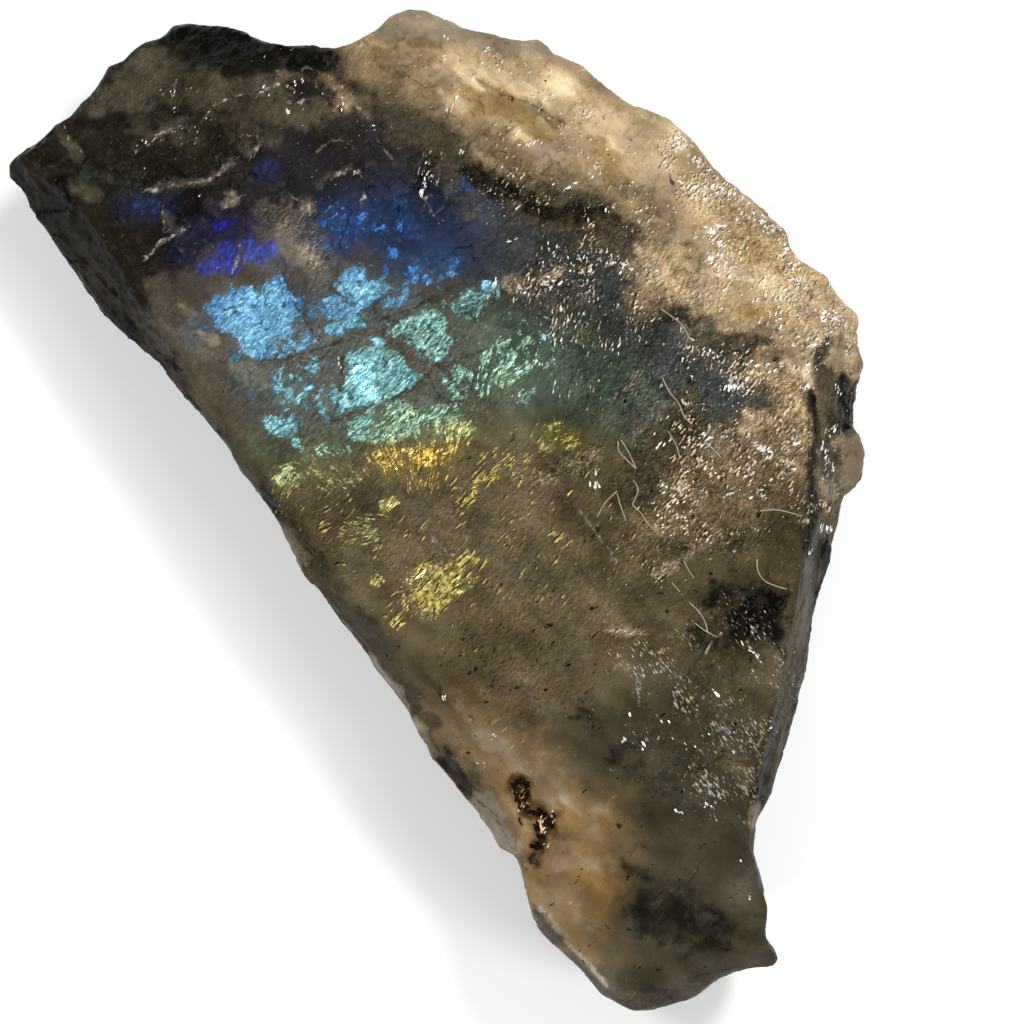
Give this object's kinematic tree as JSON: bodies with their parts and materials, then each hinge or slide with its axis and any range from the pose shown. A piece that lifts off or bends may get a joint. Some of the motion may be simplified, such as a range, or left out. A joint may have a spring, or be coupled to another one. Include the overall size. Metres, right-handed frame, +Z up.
{
  "type": "rough labradorite chunk",
  "caption": "Flat, roughly broken chunk of labradorite feldspar with a play-of-colour face, a pale crystalline rim and a squared tail, resting on a cleavage face.",
  "frame": {"origin": "middle of the stone's bounding box, on the face it rests on", "axes": "+Z up, away from the resting face; +Y along the stone, from its square tail to its pale crest; +X towards the lumpy flank"},
  "size_m": [0.0684, 0.08, 0.0214],
  "materials": {
    "labradorite": "glassy broken feldspar: dark grey-brown, with a blue to gold sheen on its face and a pale tan rim"
  },
  "bodies": {
    "root": {"labradorite_chunk": "labradorite"}
  },
  "joints": []
}
